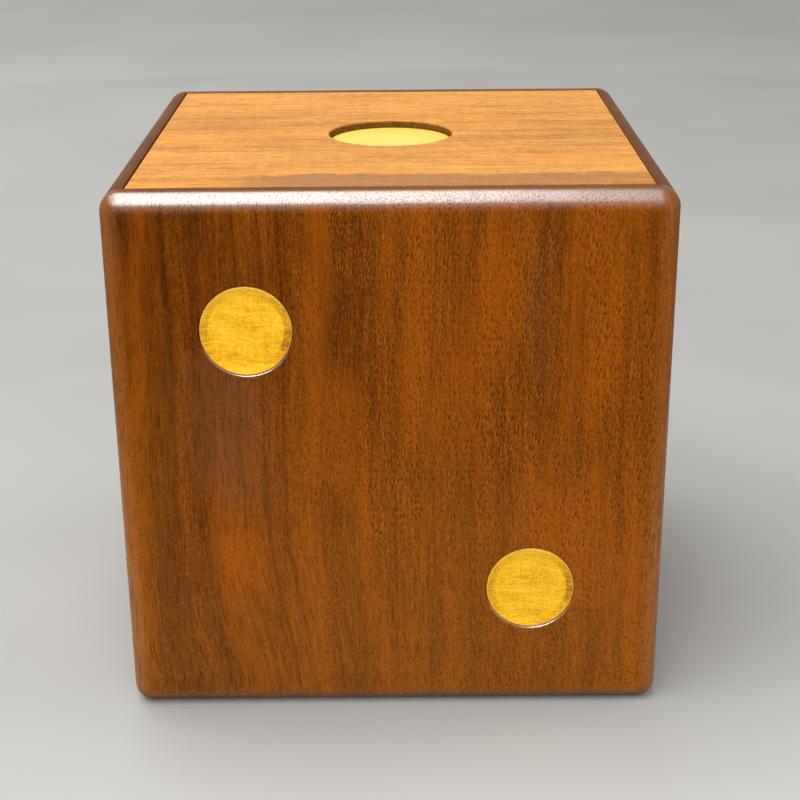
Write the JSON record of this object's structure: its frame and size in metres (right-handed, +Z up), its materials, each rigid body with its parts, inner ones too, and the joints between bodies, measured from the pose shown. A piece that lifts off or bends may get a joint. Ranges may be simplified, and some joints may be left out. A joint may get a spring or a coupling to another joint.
{
  "type": "wooden die-shaped secret box",
  "caption": "Wooden cube box made as a die, with inlaid round pips, rounded edges, a pivoting lid set into its top and a gravity lock worked by the one pip.",
  "frame": {"origin": "middle of the face that the cube rests on, the six", "axes": "+Z up through the one pip, -Y towards the two, +X towards the three"},
  "size_m": [0.09, 0.09, 0.09],
  "materials": {
    "walnut": "satin oiled walnut, open pores",
    "lid_walnut": "satin oiled walnut, lighter board",
    "pip_wood": "satin yellow hardwood inlay",
    "one_pip_wood": "smooth pale yellow hardwood",
    "liner_wood": "plain sanded cherry",
    "hard_wood": "plain sanded maple",
    "brass": "brushed",
    "steel": "ground",
    "felt": "wool felt"
  },
  "bodies": {
    "case": {"front_board": "walnut", "back_board": "walnut", "left_board": "walnut", "right_board": "walnut", "bottom_board": "walnut", "two_pip_1": "pip_wood", "two_pip_2": "pip_wood", "three_pip_1": "pip_wood", "three_pip_2": "pip_wood", "three_pip_3": "pip_wood", "four_pip_1": "pip_wood", "four_pip_2": "pip_wood", "four_pip_3": "pip_wood", "four_pip_4": "pip_wood", "five_pip_1": "pip_wood", "five_pip_2": "pip_wood", "five_pip_3": "pip_wood", "five_pip_4": "pip_wood", "five_pip_5": "pip_wood", "six_pip_1": "pip_wood", "six_pip_2": "pip_wood", "six_pip_3": "pip_wood", "six_pip_4": "pip_wood", "six_pip_5": "pip_wood", "six_pip_6": "pip_wood", "liner_front": "liner_wood", "liner_left": "liner_wood", "liner_right": "liner_wood", "false_back": "liner_wood", "felt_pad": "felt", "strike_plate": "brass", "strike_screw_left": "brass", "strike_screw_right": "brass", "pivot_pin_left": "brass", "pivot_pin_right": "brass"},
    "lid": {"lid_board": "lid_walnut", "lock_housing": "hard_wood", "lock_cover": "brass", "cover_screw_1": "brass", "cover_screw_2": "brass", "cover_screw_3": "brass", "cover_screw_4": "brass"},
    "key": {"one_pip": "one_pip_wood", "key_weight": "brass"},
    "bolt": {"lock_bolt": "brass", "cross_pin": "steel"}
  },
  "joints": [
    {"name": "lid_hinge", "type": "hinge", "parent": "case", "child": "lid", "pos_m": [0, 0.0301, 0.0878], "axis": [-1, 0, 0], "range_deg": [0, 94]},
    {"name": "key_slide", "type": "slide", "parent": "lid", "child": "key", "axis": [0, 0, 1], "range_m": [0, 0.0013]},
    {"name": "bolt_slide", "type": "slide", "parent": "lid", "child": "bolt", "axis": [0, -1, 0], "range_m": [0, 0.0026]}
  ],
  "couplings": [
    {"joint": "bolt_slide", "follows": "key_slide", "ratio": 2}
  ]
}
